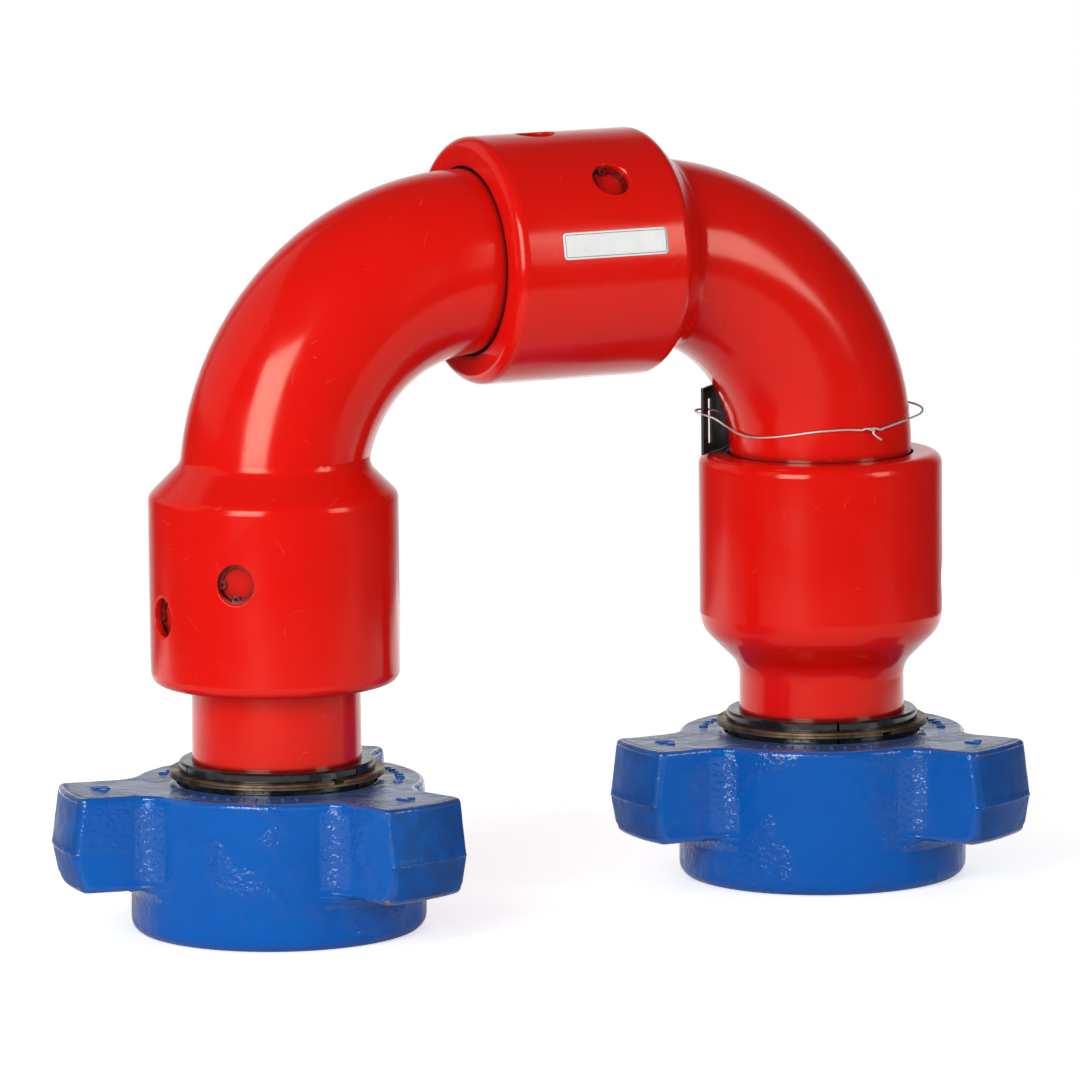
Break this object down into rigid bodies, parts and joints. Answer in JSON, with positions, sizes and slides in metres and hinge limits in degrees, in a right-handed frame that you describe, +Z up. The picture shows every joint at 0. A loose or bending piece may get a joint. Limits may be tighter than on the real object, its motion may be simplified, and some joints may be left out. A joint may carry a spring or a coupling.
{
  "type": "long sweep swivel joint",
  "caption": "U-shaped high-pressure flow-line fitting: two long sweep elbows turn on ball-race swivels, with a three-wing union nut on each leg.",
  "frame": {"origin": "centre of the inlet leg's end face, on the axis of its flow bore", "axes": "+Z up the inlet leg, +X from the inlet leg to the outlet leg"},
  "size_m": [0.5589, 0.2469, 0.4383],
  "materials": {
    "red_enamel": "gloss enamel",
    "blue_enamel": "gloss enamel over a rough forging",
    "black_coat": "gloss",
    "bronze": "satin",
    "ball_steel": "polished",
    "seal_rubber": "matte",
    "backup_brass": "turned",
    "fitting_steel": "plated",
    "label_film": "satin film",
    "tag_black": "semi-gloss",
    "wire_steel": "drawn"
  },
  "bodies": {
    "left_stem": {"left_stem": "red_enamel", "left_ball_row_1": "ball_steel", "left_ball_row_2": "ball_steel", "left_ball_row_3": "ball_steel"},
    "left_elbow": {"left_elbow": "red_enamel", "left_ball_plugs": "red_enamel", "left_snap_rings": "red_enamel", "left_packing": "seal_rubber", "left_backup_ring": "backup_brass", "left_mouth_seal": "seal_rubber", "left_grease_fitting": "fitting_steel", "top_ball_row_1": "ball_steel", "top_ball_row_2": "ball_steel", "top_ball_row_3": "ball_steel"},
    "right_elbow": {"right_elbow": "red_enamel", "top_ball_plugs": "red_enamel", "top_snap_rings": "red_enamel", "top_packing": "seal_rubber", "top_backup_ring": "backup_brass", "top_mouth_seal": "seal_rubber", "top_grease_fitting": "fitting_steel", "label": "label_film", "id_tag": "tag_black", "tie_wire": "wire_steel", "right_ball_row_1": "ball_steel", "right_ball_row_2": "ball_steel", "right_ball_row_3": "ball_steel"},
    "right_body": {"right_body": "red_enamel", "right_ball_plugs": "red_enamel", "right_snap_rings": "red_enamel", "right_packing": "seal_rubber", "right_backup_ring": "backup_brass", "right_mouth_seal": "seal_rubber", "right_grease_fitting": "fitting_steel"},
    "left_retainer": {"left_segment_1": "black_coat", "left_segment_2": "black_coat", "left_segment_3": "black_coat", "left_retaining_ring": "bronze"},
    "right_retainer": {"right_segment_1": "black_coat", "right_segment_2": "black_coat", "right_segment_3": "black_coat", "right_retaining_ring": "bronze"},
    "left_nut": {"left_wing_nut": "blue_enamel"},
    "right_nut": {"right_wing_nut": "blue_enamel"}
  },
  "joints": [
    {"name": "left_swivel", "type": "hinge", "parent": "left_stem", "child": "left_elbow", "pos_m": [0, 0, 0.18], "axis": [0, 0, 1], "continuous": true},
    {"name": "top_swivel", "type": "hinge", "parent": "left_elbow", "child": "right_elbow", "pos_m": [0.16, 0, 0.3685], "axis": [1, 0, 0], "continuous": true},
    {"name": "right_swivel", "type": "hinge", "parent": "right_elbow", "child": "right_body", "pos_m": [0.346, 0, 0.2], "axis": [0, 0, 1], "continuous": true},
    {"name": "left_union_slide", "type": "slide", "parent": "left_stem", "child": "left_retainer", "axis": [0, 0, 1], "range_m": [0, 0.035]},
    {"name": "right_union_slide", "type": "slide", "parent": "right_body", "child": "right_retainer", "axis": [0, 0, 1], "range_m": [0, 0.018]},
    {"name": "left_nut_spin", "type": "hinge", "parent": "left_retainer", "child": "left_nut", "pos_m": [0, 0, 0.04], "axis": [0, 0, 1], "continuous": true},
    {"name": "right_nut_spin", "type": "hinge", "parent": "right_retainer", "child": "right_nut", "pos_m": [0.346, 0, 0.04], "axis": [0, 0, 1], "continuous": true}
  ]
}
